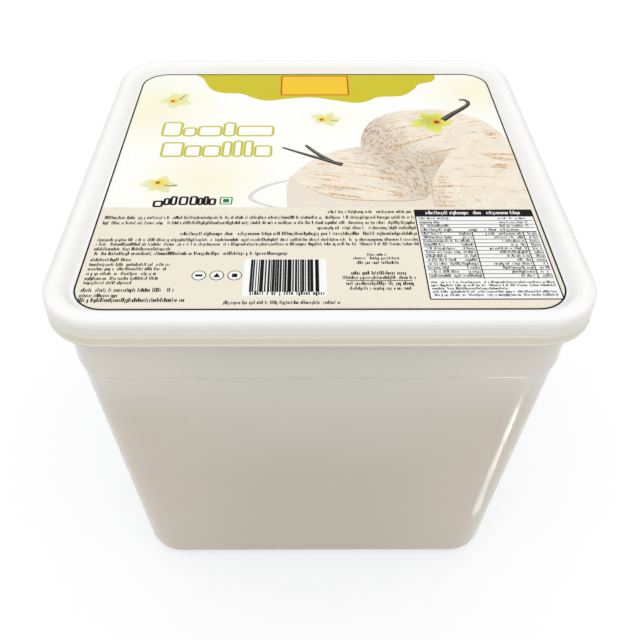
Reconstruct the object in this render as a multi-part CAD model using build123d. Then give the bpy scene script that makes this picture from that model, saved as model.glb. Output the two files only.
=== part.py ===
from build123d import *
import os
from math import atan2, hypot, tan

# A four litre ice cream tub: a deep square tub of moulded plastic, tapered towards its base, with a
# plain collar round its mouth, shut by a press-on lid whose raised rim frames a printed label.
# Millimetres. Origin at the middle of the base, +Z up, the label reads from the -Y side.

# Overall
lid_width = 181.2
lid_depth = 181.2
overall_height = 166.6

# Lid: outside
lid_corner_radius = 20.6
skirt_height = 10.6
skirt_band_height = 3.9
skirt_ledge = 0.35
skirt_ledge_height = 0.35
shoulder_height = 4.0
shoulder_inset = 1.0
shoulder_bulge = 0.28
crown_rise = 0.7
crown_inset = 3.5
slope_top_inset = 5.6
slope_foot_inset = 8.8
panel_recess = 3.5
crease_radius = 0.25
slope_top_radius = 4.0
slope_foot_radius = 0.8
lip_radius = 0.4

# Lid: inside
lid_wall = 1.2
skirt_wall = 1.2

# Tub
collar_inset = 5.0
collar_height = 21.0
collar_draft = 0.6
step_inset = 0.8
step_height = 1.6
base_inset = 12.5
wall_corner_radius = 14.3
base_corner_radius = 16.5
base_edge_radius = 6.2
step_edge_radius = 0.5
rim_depth = 5.0
foot_width = 5.0
foot_height = 0.8
gate_radius = 5.0
gate_height = 0.3

# Label
label_thickness = 0.2
label_gap = 0.1

# Clearances
rim_clearance = 0.3

# Levels and insets that follow from the sizes above
edge_z = overall_height - crown_rise
skirt_bottom_z = edge_z - skirt_height
panel_z = edge_z - panel_recess
seat_z = panel_z - lid_wall
lid_ceiling_z = edge_z - lid_wall
rim_top_z = lid_ceiling_z - rim_clearance
rim_bottom_z = rim_top_z - rim_depth
collar_bottom_z = skirt_bottom_z - collar_height
wall_top_z = collar_bottom_z - step_height
collar_bottom_inset = collar_inset + collar_draft
wall_top_inset = collar_bottom_inset + step_inset
rim_inset = skirt_ledge + skirt_wall + rim_clearance


def slope_inset(z):
    """Inset of the outside of the slope between the lid's crown and its panel, at a height."""
    run = slope_foot_inset - slope_top_inset
    return slope_top_inset + run * (overall_height - z) / (overall_height - panel_z)


def slope_underside_inset(z):
    """Inset of the underside of the slope, one wall thickness in from its outside, at a height."""
    run = slope_foot_inset - slope_top_inset
    drop = overall_height - panel_z
    return slope_inset(z) - lid_wall * hypot(run, drop) / drop


def outline(inset, radius, z):
    """A rounded rectangle, set in from the outside of the lid all round, at a height."""
    plate = RectangleRounded(lid_width - 2 * inset, lid_depth - 2 * inset, radius)
    return Pos(0, 0, z) * plate


def block(inset, radius, z_low, z_high):
    """An upright plate with rounded corners."""
    return extrude(outline(inset, radius, z_low), z_high - z_low, dir=(0, 0, 1))


def tub_wall():
    """The tapered lower part, its corners a little rounder at the base, with a rounded base edge."""
    low = outline(base_inset, base_corner_radius, 0)
    high = outline(wall_top_inset, wall_corner_radius, wall_top_z)
    wall = loft([low, high], ruled=True)
    return fillet(wall.edges().group_by(Axis.Z)[0], base_edge_radius)


def tub_collar():
    """The collar under the lid and the slanted step that leads down to the wall."""
    top_radius = lid_corner_radius - collar_inset
    bottom_radius = lid_corner_radius - collar_bottom_inset
    foot = outline(wall_top_inset, wall_corner_radius, wall_top_z)
    ledge = outline(collar_bottom_inset, bottom_radius, collar_bottom_z)
    brim = outline(collar_inset, top_radius, skirt_bottom_z)
    step = loft([foot, ledge], ruled=True)
    collar = loft([ledge, brim], ruled=True)
    neck = block(collar_inset, top_radius, skirt_bottom_z, seat_z)
    return step + collar + neck


def tub_rim():
    """The flange that the lid grips, open in the middle where the lid's panel sits."""
    mouth_inset = slope_underside_inset(rim_top_z) - rim_clearance
    flange = block(rim_inset, lid_corner_radius - rim_inset, rim_bottom_z, rim_top_z)
    mouth = block(mouth_inset, lid_corner_radius - mouth_inset, seat_z, rim_top_z)
    return flange - mouth


def base_recess():
    """The hollow under the base that leaves a foot all round, with the moulding gate in its middle."""
    inset = base_inset + base_edge_radius + foot_width
    radius = base_corner_radius - base_edge_radius - foot_width
    hollow = block(inset, radius, 0, foot_height)
    gate = Pos(0, 0, foot_height - gate_height) * Cylinder(
        gate_radius, gate_height, align=(Align.CENTER, Align.CENTER, Align.MIN)
    )
    return hollow - gate


def make_tub():
    """The filled tub: shut, so it is solid up to the lid's panel."""
    tub = tub_wall() + tub_collar() + tub_rim() - base_recess()
    step_z = [collar_bottom_z, wall_top_z]
    corners = [e for e in tub.edges() if any(abs(e.center().Z - z) < 1e-3 for z in step_z)]
    return fillet(corners, step_edge_radius)


def lid_outside():
    """The outside of the lid's rim in section, from the skirt's lip over the crown to the panel."""
    band_top_z = skirt_bottom_z + skirt_band_height
    shoulder_z = edge_z - shoulder_height
    middle = ((skirt_ledge + shoulder_inset) / 2 - shoulder_bulge, (shoulder_z + edge_z) / 2)
    crown_middle = ((shoulder_inset + crown_inset) / 2, edge_z + 0.72 * crown_rise)
    return [
        Line((0, skirt_bottom_z), (0, band_top_z)),
        Line((0, band_top_z), (skirt_ledge, band_top_z + skirt_ledge_height)),
        Line((skirt_ledge, band_top_z + skirt_ledge_height), (skirt_ledge, shoulder_z)),
        ThreePointArc((skirt_ledge, shoulder_z), middle, (shoulder_inset, edge_z)),
        ThreePointArc((shoulder_inset, edge_z), crown_middle, (crown_inset, overall_height)),
        Line((crown_inset, overall_height), (slope_top_inset, overall_height)),
        Line((slope_top_inset, overall_height), (slope_foot_inset, panel_z)),
    ]


def lid_inside():
    """The underside of the lid's rim in section, back from the panel to the skirt's lip."""
    step_off = slope_foot_inset + slope_foot_radius
    skirt_face = skirt_ledge + skirt_wall
    points = [
        (slope_foot_inset, panel_z),
        (step_off, panel_z),
        (step_off, seat_z),
        (slope_underside_inset(seat_z), seat_z),
        (slope_underside_inset(lid_ceiling_z), lid_ceiling_z),
        (skirt_face, lid_ceiling_z),
        (skirt_face, skirt_bottom_z),
        (0, skirt_bottom_z),
    ]
    return [Line(a, b) for a, b in zip(points, points[1:])]


def lid_section():
    """The section of the lid's rim, with its crisp and its soft corners."""
    section = make_face(Curve() + lid_outside() + lid_inside())
    radii = {
        (0, skirt_bottom_z): lip_radius,
        (shoulder_inset, edge_z): crease_radius,
        (slope_top_inset, overall_height): slope_top_radius,
        (slope_foot_inset, panel_z): slope_foot_radius,
    }
    for (x, y), radius in radii.items():
        corner = section.vertices().sort_by_distance((x, y, 0))[0]
        section = fillet(corner, radius)
    return section


def make_lid():
    """The press-on lid: its rim carried round the corners, and the flat panel inside it."""
    front = Plane(origin=(0, -lid_depth / 2, 0), x_dir=(0, 1, 0), z_dir=(1, 0, 0))
    path = outline(0, lid_corner_radius, 0).wire()
    rim = sweep(front * lid_section(), path=path)
    panel_inset = slope_foot_inset + slope_foot_radius
    panel = block(panel_inset, lid_corner_radius - panel_inset, seat_z, panel_z)
    return rim + panel


def make_label():
    """The printed film that covers the lid's panel, clear of the rounded foot of the slope."""
    slope_angle = atan2(overall_height - panel_z, slope_foot_inset - slope_top_inset)
    foot_reach = slope_foot_radius * tan(slope_angle / 2)
    inset = slope_foot_inset + foot_reach + label_gap
    return block(inset, lid_corner_radius - inset, panel_z, panel_z + label_thickness)


os.makedirs("parts", exist_ok=True)
for name, shape in {"tub": make_tub(), "lid": make_lid(), "label": make_label()}.items():
    export_step(shape, f"parts/{name}.step")
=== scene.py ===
"""Builds a four litre ice cream tub around its fixed frame: tapered tub, press-on lid and printed label."""

import math
from types import SimpleNamespace

import bpy
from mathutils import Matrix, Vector


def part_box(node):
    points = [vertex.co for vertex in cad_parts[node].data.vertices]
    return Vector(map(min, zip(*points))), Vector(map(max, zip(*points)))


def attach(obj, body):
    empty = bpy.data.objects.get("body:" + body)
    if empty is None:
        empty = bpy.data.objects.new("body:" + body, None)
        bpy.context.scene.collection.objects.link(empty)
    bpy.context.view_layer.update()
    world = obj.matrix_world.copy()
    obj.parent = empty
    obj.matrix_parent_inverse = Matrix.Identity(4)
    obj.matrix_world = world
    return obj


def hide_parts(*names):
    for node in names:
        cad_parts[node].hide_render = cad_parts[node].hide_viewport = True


bl_info = {
    "name": "Ice Cream Tub",
    "version": (1, 0, 0),
    "blender": (4, 5, 0),
    "location": "3D View > Sidebar > Tub",
    "description": "Builds a moulded ice cream tub with a press-on lid and a printed label",
    "category": "Add Mesh",
}

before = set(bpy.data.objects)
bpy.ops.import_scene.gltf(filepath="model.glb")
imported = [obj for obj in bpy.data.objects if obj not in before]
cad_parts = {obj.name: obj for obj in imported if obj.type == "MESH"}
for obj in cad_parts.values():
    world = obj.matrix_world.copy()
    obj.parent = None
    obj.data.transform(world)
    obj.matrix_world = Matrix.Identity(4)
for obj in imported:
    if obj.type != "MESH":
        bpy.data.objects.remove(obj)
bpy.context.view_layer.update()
TUB_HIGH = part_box("tub")[1]
LID_LOW, LID_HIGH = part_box("lid")
FILM_LOW, FILM_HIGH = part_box("label")

MM = 0.001
HALF = (LID_HIGH.x - LID_LOW.x) / 2
BODY = "root"

# Heights of the printed layers above the film, lowest first
FIELD, PICTURE, FRONT_PICTURE, FOOT, BAND, PANEL, INK = range(1, 8)


# ---------------------------------------------------------------- sizes and colours that a user may change


def length(label, millimetres, description):
    """A length, written here in millimetres and kept in metres."""
    return bpy.props.FloatProperty(
        name=label, description=description, default=millimetres * MM, min=0, precision=5, unit="LENGTH"
    )


def shade(red, green, blue):
    """A colour written in the usual 0 to 255 steps, as the linear values that materials use."""
    shares = [value / 255 for value in (red, green, blue)]
    return [s / 12.92 if s <= 0.04045 else ((s + 0.055) / 1.055) ** 2.4 for s in shares] + [1.0]


def tint(label, red, green, blue, description):
    """A colour, written here in 0 to 255 steps."""
    default = shade(red, green, blue)
    return bpy.props.FloatVectorProperty(
        name=label, description=description, default=default, size=4, min=0, max=1, subtype="COLOR"
    )


def turning(label, degrees, description):
    """An angle, written here in degrees and kept in radians."""
    return bpy.props.FloatProperty(
        name=label, description=description, default=math.radians(degrees), subtype="ANGLE"
    )


def amount(label, default, description):
    """A plain number, such as the strength of a light."""
    return bpy.props.FloatProperty(name=label, description=description, default=default)


def position(label, default, description):
    """A place in the frame, in metres."""
    return bpy.props.FloatVectorProperty(name=label, description=description, default=default, unit="LENGTH")


class TubSizes(bpy.types.PropertyGroup):
    """Sizes of the tub. Insets are counted inwards from the outside of the lid."""

    collar_inset: length("Collar inset", 5, "Inset of the collar just under the lid")
    collar_height: length("Collar height", 21, "Height of the plain collar round the mouth")
    collar_draft: length("Collar draft", 0.6, "How far the collar tapers in over its height")
    step_inset: length("Step inset", 0.8, "Width of the slanted step under the collar")
    step_height: length("Step height", 1.6, "Height of the slanted step under the collar")
    step_radius: length("Step radius", 0.9, "Rounding of the step's two edges")
    base_inset: length("Base inset", 12.5, "Inset of the walls at the base")
    base_edge_radius: length("Base edge radius", 6.2, "Rounding between the walls and the base")
    base_corner_radius: length("Base corner radius", 16.5, "Radius of the upright corners at the base")
    foot_width: length("Foot width", 5, "Width of the foot that runs round the base")
    foot_height: length("Foot height", 0.8, "Depth of the hollow inside the foot")
    gate_radius: length("Gate radius", 5, "Radius of the moulding gate in the middle of the base")
    gate_height: length("Gate height", 0.3, "How far the gate stands out of the hollow")
    rim_inset: length("Rim inset", 1.85, "Inset of the flange that the lid grips")
    rim_depth: length("Rim depth", 5, "Height of the flange that the lid grips")
    mouth_inset: length("Mouth inset", 5.47, "Inset of the mouth inside the flange")
    small_radius: length("Small radius", 0.3, "Rounding of the small moulded edges")
    wall_bow: length("Wall bow", 0.45, "How far each large wall is drawn in at its middle")


class LidSizes(bpy.types.PropertyGroup):
    """Sizes of the lid. Insets are counted inwards from the outside of its skirt."""

    corner_radius: length("Corner radius", 20.6, "Outer radius of the lid's corners")
    band_height: length("Band height", 3.9, "Height of the thicker band at the foot of the skirt")
    ledge: length("Ledge", 0.35, "Inset of the skirt above the band")
    band_inset: length("Band inset", 0.12, "Inset of the band between its ledge and its lip")
    lip_height: length("Lip height", 1.1, "Height of the small lip at the foot of the band")
    shoulder_height: length("Shoulder height", 4, "Height of the rounded shoulder under the crown")
    shoulder_inset: length("Shoulder inset", 1, "Inset of the crease between shoulder and crown")
    shoulder_bulge: length("Shoulder bulge", 0.25, "How far the shoulder bulges outwards")
    crown_rise: length("Crown rise", 0.7, "How far the crown rises above its outer crease")
    crown_inset: length("Crown inset", 3.5, "Inset of the top of the crown")
    slope_top_inset: length("Slope top inset", 5.6, "Inset of the top of the inner slope")
    slope_foot_inset: length("Slope foot inset", 8.8, "Inset of the foot of the inner slope")
    slope_top_radius: length("Slope top radius", 4, "Rounding of the top of the inner slope")
    slope_foot_radius: length("Slope foot radius", 0.8, "Rounding of the foot of the inner slope")
    crease_radius: length("Crease radius", 0.25, "Rounding of the crease between shoulder and crown")
    lip_radius: length("Lip radius", 0.35, "Rounding of the outer lip of the skirt")
    wall: length("Wall", 1.2, "Wall thickness of the lid")
    point_spacing: length("Point spacing", 2, "Distance between the sections round the rim")


class PackColours(bpy.types.PropertyGroup):
    """Colours of the plastics and of the print."""

    tub: tint("Tub", 227, 227, 221, "Plastic of the tub above its filling")
    # Creamier where the filling shows through, and darker as painted shade lower down the wall
    filled: tint("Filled tub", 214, 208, 197, "Plastic of the tub where the filling shows through")
    corner: tint("Tub corners", 225, 218, 207, "Plastic of the tub's corners, where the filling stands off")
    collar_corner: tint("Collar corners", 237, 236, 231, "Corners above the filling")
    tub_depth: length("Tub depth", 6, "How far light passes into the plastic of the tub")
    lid: tint("Lid", 252, 252, 250, "Plastic of the lid")
    # Painted shade: the greyer colour of the lid's outer edge, where it turns away from the light
    lid_edge_shade: tint("Lid edge", 231, 232, 232, "Outer edge of the lid away from the front")
    # Painted shade: the darker, creamier colour towards the foot of the lid's skirt
    skirt: tint("Skirt", 236, 235, 222, "Plastic of the lid at the foot of its skirt")
    film: tint("Film", 254, 254, 251, "White of the label film")
    glow: tint("Glow", 250, 247, 219, "Pale yellow clouds in the upper field")
    band: tint("Band", 241, 234, 217, "Lower field behind the small print")
    banner: tint("Banner", 210, 198, 46, "Wavy banner along the back edge")
    badge: tint("Badge", 247, 203, 52, "Blank plate on the banner")
    badge_edge: tint("Badge edge", 214, 62, 26, "Thin outline of the blank plate")
    keyline: tint("Keyline", 34, 34, 31, "Thin line round the label")
    title: tint("Title", 209, 204, 62, "Outline of the title blocks")
    ink: tint("Ink", 48, 44, 40, "Small print")
    black: tint("Black", 22, 21, 20, "Black print")
    green: tint("Green", 10, 136, 74, "Small square beside the volume blocks")


class LabelSizes(bpy.types.PropertyGroup):
    """Sizes of the print on the label."""

    line_width: length("Line width", 0.55, "Width of the keyline")
    line_inset: length("Line inset", 0.1, "White edge of the film outside the keyline")
    line_radius: length("Line radius", 10.9, "Radius of the keyline's corners")
    line_shift: length("Line shift", 0.2, "How far the keyline sits to the right of the film's middle")
    band_top: length("Band top", 54.5, "Height of the lower field, from the keyline at the front")
    layer: length("Layer", 0.02, "Thickness of one printed layer")
    sink: length("Sink", 0.05, "How deep the print is set into the film")
    seed: bpy.props.IntProperty(name="Seed", description="Fixed start of the random draws", default=7, min=0)


class StageSettings(bpy.types.PropertyGroup):
    """Camera, lights and floor."""

    eye: position("Eye", (-0.00485, -0.2512, 0.32742), "Place of the camera")
    tilt: turning("Tilt", 47.56, "How far the camera looks up from straight down")
    turn: turning("Turn", -0.15, "How far the camera turns to the left")
    lens: amount("Lens", 41.78, "Focal length in millimetres")
    shift_x: amount("Shift across", 0.0217, "Sideways shift of the lens")
    shift_y: amount("Shift up", -0.0495, "Upward shift of the lens")
    sky: amount("Sky", 0.76, "Level of the even light all round")
    sun: amount("Top light", 0.24, "Level of the soft light from above")
    sun_lean: turning("Top light lean", 12, "How far the soft light leans to the front")
    sun_spread: turning("Top light spread", 140, "Width of the soft light as seen from the tub")
    strip: amount("Strip", 4.2, "Level of the strip that the corner mirrors")
    strip_place: position("Strip place", (0.1125, -0.1088, 0.003), "Middle of the strip")
    strip_turn: turning("Strip turn", -42.9, "How far the strip is turned on the floor")
    strip_length: length("Strip length", 72, "Length of the strip")
    strip_width: length("Strip width", 17, "Width of the strip at its middle")
    strip_flare: amount("Strip flare", 0.2, "How much wider each third of the strip is than the one before")
    floor: tint("Floor", 188, 180, 169, "Colour of the floor under the white that the camera sees")
    floor_size: length("Floor size", 4000, "Half the width of the floor")
    floor_white: amount("Floor white", 1.045, "Level that the floor is lifted to where the camera sees it")


# ---------------------------------------------------------------- nodes

FLOAT, INTEGER, COLOUR, VECTOR = "NodeSocketFloat", "NodeSocketInt", "NodeSocketColor", "NodeSocketVector"
GEOMETRY, MATERIAL = "NodeSocketGeometry", "NodeSocketMaterial"
RESULTS = {"colour": COLOUR, "roughness": FLOAT, "normal": VECTOR, "geometry": GEOMETRY}


def node(tree, kind, inputs, output=0, **settings):
    """One output of a new node. Each input, by name or number, is linked to a signal or set to a value."""
    made = tree.nodes.new(kind)
    for setting, value in settings.items():
        setattr(made, setting, value)
    for name, value in inputs.items():
        if isinstance(value, Signal):
            value.to(made.inputs[name])
        else:
            made.inputs[name].default_value = value
    return Signal(made.outputs[output])


class Signal:
    """An output in a node tree. Arithmetic on it adds Math nodes, and the other steps add theirs."""

    def __init__(self, socket):
        self.socket = socket
        self.tree = socket.id_data

    def to(self, socket):
        """Links this signal to an input."""
        self.tree.links.new(self.socket, socket)

    def math(self, operation, *others):
        """The result of a Math node that starts from this signal."""
        return node(self.tree, "ShaderNodeMath", dict(enumerate((self, *others))), operation=operation)

    def __add__(self, other):
        return self.math("ADD", other)

    def __sub__(self, other):
        return self.math("SUBTRACT", other)

    def __rsub__(self, other):
        return node(self.tree, "ShaderNodeMath", {0: other, 1: self}, operation="SUBTRACT")

    def __mul__(self, other):
        return self.math("MULTIPLY", other)

    def __truediv__(self, other):
        return self.math("DIVIDE", other)

    def ramp(self, low, high):
        """A smooth step from 0 at low to 1 at high."""
        inputs = {"Value": self, "From Min": low, "From Max": high}
        return node(self.tree, "ShaderNodeMapRange", inputs, interpolation_type="SMOOTHSTEP")

    def blend(self, first, second):
        """Two colours mixed by this signal."""
        return node(self.tree, "ShaderNodeMix", {0: self, 6: first, 7: second}, 2, data_type="RGBA")

    def lit(self, level):
        """This colour made lighter or darker by a level about one."""
        grey = node(self.tree, "ShaderNodeCombineColor", {0: level, 1: level, 2: level})
        inputs = {0: 1.0, 6: self, 7: grey}
        return node(self.tree, "ShaderNodeMix", inputs, 2, data_type="RGBA", blend_type="MULTIPLY")

    def noise(self, scale, detail):
        """Noise over this place."""
        return node(self.tree, "ShaderNodeTexNoise", {"Vector": self, "Scale": scale, "Detail": detail})

    def distance(self, spot):
        """How far this place is from another."""
        return node(self.tree, "ShaderNodeVectorMath", {0: self, 1: spot}, "Value", operation="DISTANCE")

    def split(self):
        """The three parts of this vector."""
        first = node(self.tree, "ShaderNodeSeparateXYZ", {0: self})
        return [Signal(socket) for socket in first.socket.node.outputs]


def joined(tree, x=0.0, y=0.0, z=0.0):
    """A vector put together from its three parts."""
    return node(tree, "ShaderNodeCombineXYZ", {0: x, 1: y, 2: z})


def object_place(tree):
    """The place on the object, in metres."""
    return node(tree, "ShaderNodeTexCoord", {}, "Object")


def socket_label(key):
    """The name that a socket shows for a key in plain words."""
    return key.replace("_", " ").title()


def node_group(kind, name, **inputs):
    """Makes the function under it give the node group of that name, which is drawn once.

    The function gets the tree and a signal for each input, and returns a signal for each output.
    """
    def wrap(draw):
        def group():
            """The group, drawn now if the file doesn't hold it yet."""
            if name in bpy.data.node_groups:
                return bpy.data.node_groups[name]
            tree = bpy.data.node_groups.new(name, kind)
            for key, socket_type in inputs.items():
                tree.interface.new_socket(socket_label(key), in_out="INPUT", socket_type=socket_type)
            sources = tree.nodes.new("NodeGroupInput").outputs
            made = draw(tree, SimpleNamespace(**{key: Signal(sources[socket_label(key)]) for key in inputs}))
            for key in made:
                tree.interface.new_socket(socket_label(key), in_out="OUTPUT", socket_type=RESULTS[key])
            targets = tree.nodes.new("NodeGroupOutput").inputs
            for key, signal in made.items():
                signal.to(targets[socket_label(key)])
            return tree

        return group

    return wrap


def shader_group(name, **inputs):
    """Makes the function under it give a shader group."""
    return node_group("ShaderNodeTree", name, **inputs)


def geometry_group(name, **inputs):
    """Makes the function under it give a geometry tree, which ends in one real mesh with its material."""
    def wrap(draw):
        def finished(tree, given):
            """What the function draws, with its instances made real and its material set."""
            real = node(tree, "GeometryNodeRealizeInstances", {0: draw(tree, given)})
            done = {"Geometry": real, "Material": given.material}
            return {"geometry": node(tree, "GeometryNodeSetMaterial", done)}

        return node_group("GeometryNodeTree", name, geometry=GEOMETRY, material=MATERIAL, **inputs)(finished)

    return wrap


# ---------------------------------------------------------------- materials

INK_GLOSS = 0.42
PEEL_HEIGHT = 0.2 * MM


@shader_group("Moulded Surface", colour=COLOUR, cloud=FLOAT, gloss=FLOAT, peel=FLOAT)
def moulded_surface(tree, given):
    """Gives moulded plastic its faint clouds, its uneven gloss and its fine orange peel."""
    place = object_place(tree)
    clouds = place.noise(scale=38, detail=4)
    uneven = clouds * 0.7 + place.noise(scale=420, detail=2) * 0.3
    bump = {"Strength": given.peel, "Distance": PEEL_HEIGHT, "Height": place.noise(scale=900, detail=1)}
    return {
        "colour": given.colour.lit((uneven - 0.5) * given.cloud + 1.0),
        "roughness": (clouds - 0.5) * 0.12 + given.gloss,
        "normal": node(tree, "ShaderNodeBump", bump),
    }


@shader_group("Print Grain", colour=COLOUR, grain=FLOAT, gloss=FLOAT)
def print_grain(tree, given):
    """Gives printed ink its fine dots and its slightly uneven gloss."""
    place = object_place(tree)
    clouds = place.noise(scale=60, detail=3)
    uneven = place.noise(scale=1500, detail=2) + clouds - 1.0
    return {
        "colour": given.colour.lit(uneven * given.grain + 1.0),
        "roughness": (clouds - 0.5) * 0.1 + given.gloss,
    }


@shader_group(
    "Churned Cream", centre=VECTOR, radius=FLOAT, shade_turn=FLOAT, shade_reach=FLOAT, streak_turn=FLOAT,
    hollow=VECTOR, hollow_radius=FLOAT, light=COLOUR, shade=COLOUR, ridge=COLOUR, streak=COLOUR, seed=FLOAT,
)
def churned_cream(tree, given):
    """Colours a printed scoop: light and shaded sides, a hollow, curved ridges and ragged tan streaks."""
    place = object_place(tree)
    from_centre = node(tree, "ShaderNodeVectorMath", {0: place, 1: given.centre}, operation="SUBTRACT")
    in_mm = node(tree, "ShaderNodeVectorMath", {0: from_centre, "Scale": 1 / MM}, operation="SCALE")

    def turned(angle):
        """The place, turned about the scoop's centre, as its two flat parts."""
        spun = node(tree, "ShaderNodeVectorRotate", {"Vector": in_mm, "Angle": angle}, rotation_type="Z_AXIS")
        return spun.split()[:2]

    def noise_over(first, second, detail, offset):
        """Noise over two stretched measures."""
        return joined(tree, first, second, given.seed + offset).noise(1.0, detail)

    along, across = turned(given.shade_turn)
    turned_away = (along / given.radius).ramp(given.shade_reach - 0.55, given.shade_reach)
    hollow = place.distance(given.hollow).ramp(given.hollow_radius, given.hollow_radius * 0.35)
    shaded = turned_away.math("MAXIMUM", hollow)
    soft = noise_over(along * 0.16, across * 0.16, 5.0, offset=3.0)
    base = (shaded * 0.85 + soft.ramp(0.3, 0.75) * 0.4).blend(given.light, given.shade)

    span = (along.math("POWER", 2.0) + across.math("POWER", 2.0)).math("SQRT")
    angle = across.math("ARCTAN2", along)
    ridges = noise_over(span * 1.15, angle * 7.0, 5.0, offset=0.0).ramp(0.5, 0.6)
    ridged = (ridges * (shaded * 0.85 + 0.1)).blend(base, given.ridge)

    run, rise = turned(given.streak_turn)
    bend = run.math("POWER", 2.0) * 0.004
    crumbs = noise_over(run, rise, 3.0, offset=23.0)
    ragged_rise = crumbs * 2.2 + (rise + bend)
    lines = noise_over(run * 0.045, ragged_rise * 0.6, 3.0, offset=11.0).ramp(0.54, 0.6)
    places = noise_over(run * 0.09, ragged_rise * 0.12, 1.0, offset=17.0).ramp(0.42, 0.56)
    broken = crumbs.ramp(0.4, 0.56) * 0.8 + 0.2
    inside = span.ramp(given.radius, given.radius * 0.82)
    streaks = lines * places * broken * inside * 0.95
    return {"colour": streaks.blend(ridged, given.streak)}


def new_material(name, group, specular=0.5, depth=0.0, **values):
    """A material whose colour, roughness and normal come from a shader group; light may pass a little way in.

    Each value for the group is a number, a colour, or a function that makes it from the place on the object.
    """
    material = bpy.data.materials.new(name)
    material.use_nodes = True
    tree = material.node_tree
    shader = tree.nodes["Principled BSDF"]
    settings = {"Specular IOR Level": specular, "Roughness": INK_GLOSS}
    if depth:
        settings["Subsurface Weight"] = 0.7
        settings["Subsurface Radius"] = (1.0, 0.95, 0.88)
        settings["Subsurface Scale"] = depth
    for setting, value in settings.items():
        shader.inputs[setting].default_value = value
    used = tree.nodes.new("ShaderNodeGroup")
    used.node_tree = group
    for key, value in values.items():
        socket = used.inputs[socket_label(key)]
        if callable(value):
            value(object_place(tree)).to(socket)
        else:
            socket.default_value = value
    for output, target in (("Colour", "Base Color"), ("Roughness", "Roughness"), ("Normal", "Normal")):
        if output in used.outputs:
            tree.links.new(used.outputs[output], shader.inputs[target])
    return material


def ink_material(name, colour, grain=0.05):
    """Printed ink of one colour, with its fine dots, made once."""
    if name in bpy.data.materials:
        return bpy.data.materials[name]
    return new_material(name, print_grain(), specular=0.05, colour=colour, grain=grain, gloss=INK_GLOSS)


def tub_material(colours, fill_line):
    """Milky plastic, creamier where the filling shows through below the line that it reaches, with painted
    shade that darkens it gradually further down, and paler at the corners.
    """
    deep, shallow = fill_line * 0.45, fill_line * 0.8
    middle, corner_start = 15 * MM, 68 * MM

    def colour(place):
        x, y, z = place.split()
        # The filling seen through the plastic, and painted shade: the colour darkens gradually from the fill
        # line down to the deep line
        filled = z.ramp(fill_line, deep)
        begun = z.ramp(fill_line, shallow)
        corner = x.math("ABSOLUTE").math("MINIMUM", y.math("ABSOLUTE")).ramp(middle, corner_start)
        body = filled.blend(colours.tub, colours.filled)
        body = (corner * (1.0 - begun)).blend(body, colours.collar_corner)
        return (corner * begun * 0.8).blend(body, colours.corner)

    group = moulded_surface()
    depth = colours.tub_depth
    return new_material("Tub Plastic", group, 0.3, depth, colour=colour, cloud=0.05, gloss=0.16, peel=0.04)


def lid_material(colours):
    """White plastic, with painted shade: greyer at its outer edge away from the front, and darker and
    creamier down the skirt.
    """
    straight = HALF - 20 * MM
    edge_shade_start, edge_shade_end = HALF - 4.5 * MM, HALF - 0.6 * MM
    front, back = 6 * MM - HALF, 30 * MM - HALF
    skirt_top, skirt_foot = FILM_LOW.z + 0.6 * MM, LID_LOW.z + 2.6 * MM

    def colour(place):
        x, y, z = place.split()
        beyond = [(part.math("ABSOLUTE") - straight).math("MAXIMUM", 0.0) for part in (x, y)]
        reach = (beyond[0] * beyond[0] + beyond[1] * beyond[1]).math("SQRT") + straight
        # Painted shade on the outer edge, which turns away from the light; it fades out towards the front
        edge = reach.ramp(edge_shade_start, edge_shade_end) * y.ramp(front, back)
        top = edge.blend(colours.lid, colours.lid_edge_shade)
        # Painted shade down the skirt, darker and creamier towards its foot
        return z.ramp(skirt_top, skirt_foot).blend(top, colours.skirt)

    group = moulded_surface()
    return new_material("Lid Plastic", group, 0.3, colour=colour, cloud=0.02, gloss=0.3, peel=0.12)


def on_film(x, y, height=FILM_HIGH.z):
    """A place on the label, from its millimetres."""
    return (x * MM, y * MM, height)


def film_material(colours):
    """White film with a few soft pale yellow clouds printed on its upper field."""
    clouds = ((-74, 50, 44, 1.0), (-44, -8, 36, 0.9), (74, 64, 34, 1.0), (6, 40, 18, 0.4))

    def colour(place):
        glow = 0.0
        for x, y, reach, strength in clouds:
            cloud = place.distance(on_film(x, y)).ramp(reach * MM, 0.0) * strength
            glow = cloud.math("MAXIMUM", glow)
        return glow.blend(colours.film, colours.glow)

    return new_material("Label Film", print_grain(), colour=colour, grain=0.015, gloss=0.4)


def scoop_material(name, centre, radius, seed, **turns):
    """Printed ice cream, ridged and streaked about its own centre."""
    return new_material(
        name, churned_cream(), specular=0.05, centre=on_film(*centre), radius=radius, seed=seed,
        light=shade(250, 240, 222), shade=shade(226, 210, 192), ridge=shade(182, 163, 147),
        streak=shade(208, 162, 110), **turns,
    )


def petal_material(name, centre, reach, inner, outer):
    """Printed petals that pale from the throat of the blossom to their tips."""
    def colour(place):
        wander = (place.noise(scale=900, detail=3) - 0.5) * (reach * 0.7 * MM)
        return (place.distance(on_film(*centre)) + wander).ramp(0.0, reach * MM).blend(inner, outer)

    return new_material(name, print_grain(), colour=colour, grain=0.12, gloss=INK_GLOSS)


# ---------------------------------------------------------------- outlines and meshes


def rounded_outline(half_x, half_y, radius, corner_steps=8, side_stops=()):
    """Points round a rectangle with rounded corners, anticlockwise, and at the stops along each side."""
    points = []
    quarter = math.pi / 2
    signs = ((1, 1), (-1, 1), (-1, -1), (1, -1))
    for corner, (sign_x, sign_y) in enumerate(signs):
        middle = Vector((sign_x * (half_x - radius), sign_y * (half_y - radius)))
        for step in range(corner_steps + 1):
            turn = quarter * (corner + step / corner_steps)
            points.append(middle + radius * Vector((math.cos(turn), math.sin(turn))))
        next_x, next_y = signs[(corner + 1) % 4]
        next_middle = Vector((next_x * (half_x - radius), next_y * (half_y - radius)))
        ending = quarter * (corner + 1)
        edge = radius * Vector((math.cos(ending), math.sin(ending)))
        for stop in side_stops:
            points.append((middle + edge).lerp(next_middle + edge, stop))
    return points


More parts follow.
